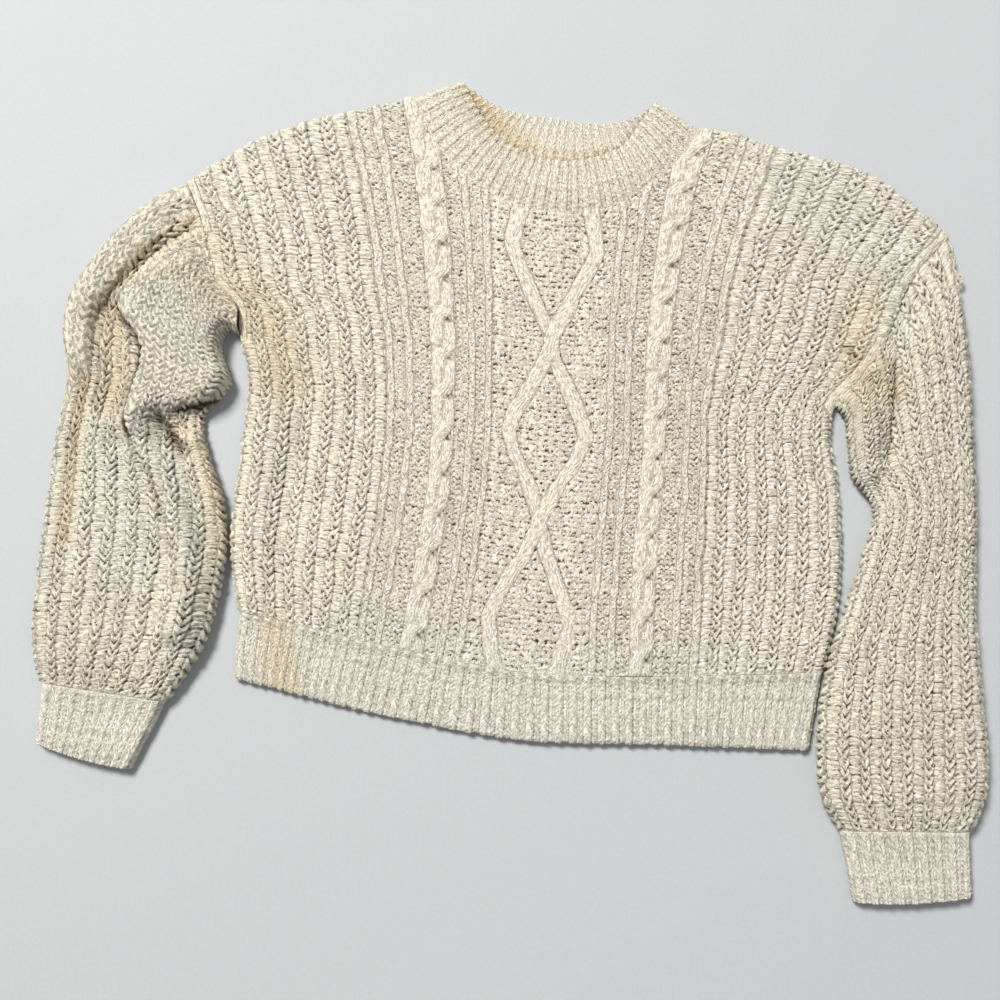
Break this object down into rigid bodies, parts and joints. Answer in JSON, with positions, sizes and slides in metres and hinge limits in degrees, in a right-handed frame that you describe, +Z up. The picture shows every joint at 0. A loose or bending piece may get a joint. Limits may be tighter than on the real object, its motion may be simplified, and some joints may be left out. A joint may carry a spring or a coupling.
{
  "type": "cropped knit sweater",
  "caption": "Cropped cable-knit sweater laid flat and face up, with a ribbed round neckband, full sleeves, ribbed cuffs and a ribbed hem; one sleeve is bunched at the underarm.",
  "frame": {"origin": "middle of the garment's box, on the surface that it lies on", "axes": "+Z up from that surface, +Y from the hem towards the collar, +X to the right as seen from above with the collar away"},
  "size_m": [0.7644, 0.6823, 0.0313],
  "materials": {
    "cable_knit": "matt chunky wool-look yarn in cables, diamonds and moss stitch",
    "plain_knit": "matt chunky wool-look yarn in plain ribs",
    "fisherman_knit": "matt chunky wool-look yarn in half-fisherman rib",
    "rib_knit": "matt chunky wool-look yarn in single rib"
  },
  "bodies": {
    "root": {"front_panel": "cable_knit", "back_panel": "plain_knit", "sleeve_left": "fisherman_knit", "sleeve_right": "fisherman_knit", "neckband": "rib_knit", "hem_rib_front": "rib_knit", "hem_rib_back": "rib_knit", "cuff_left": "rib_knit", "cuff_right": "rib_knit"}
  },
  "joints": []
}
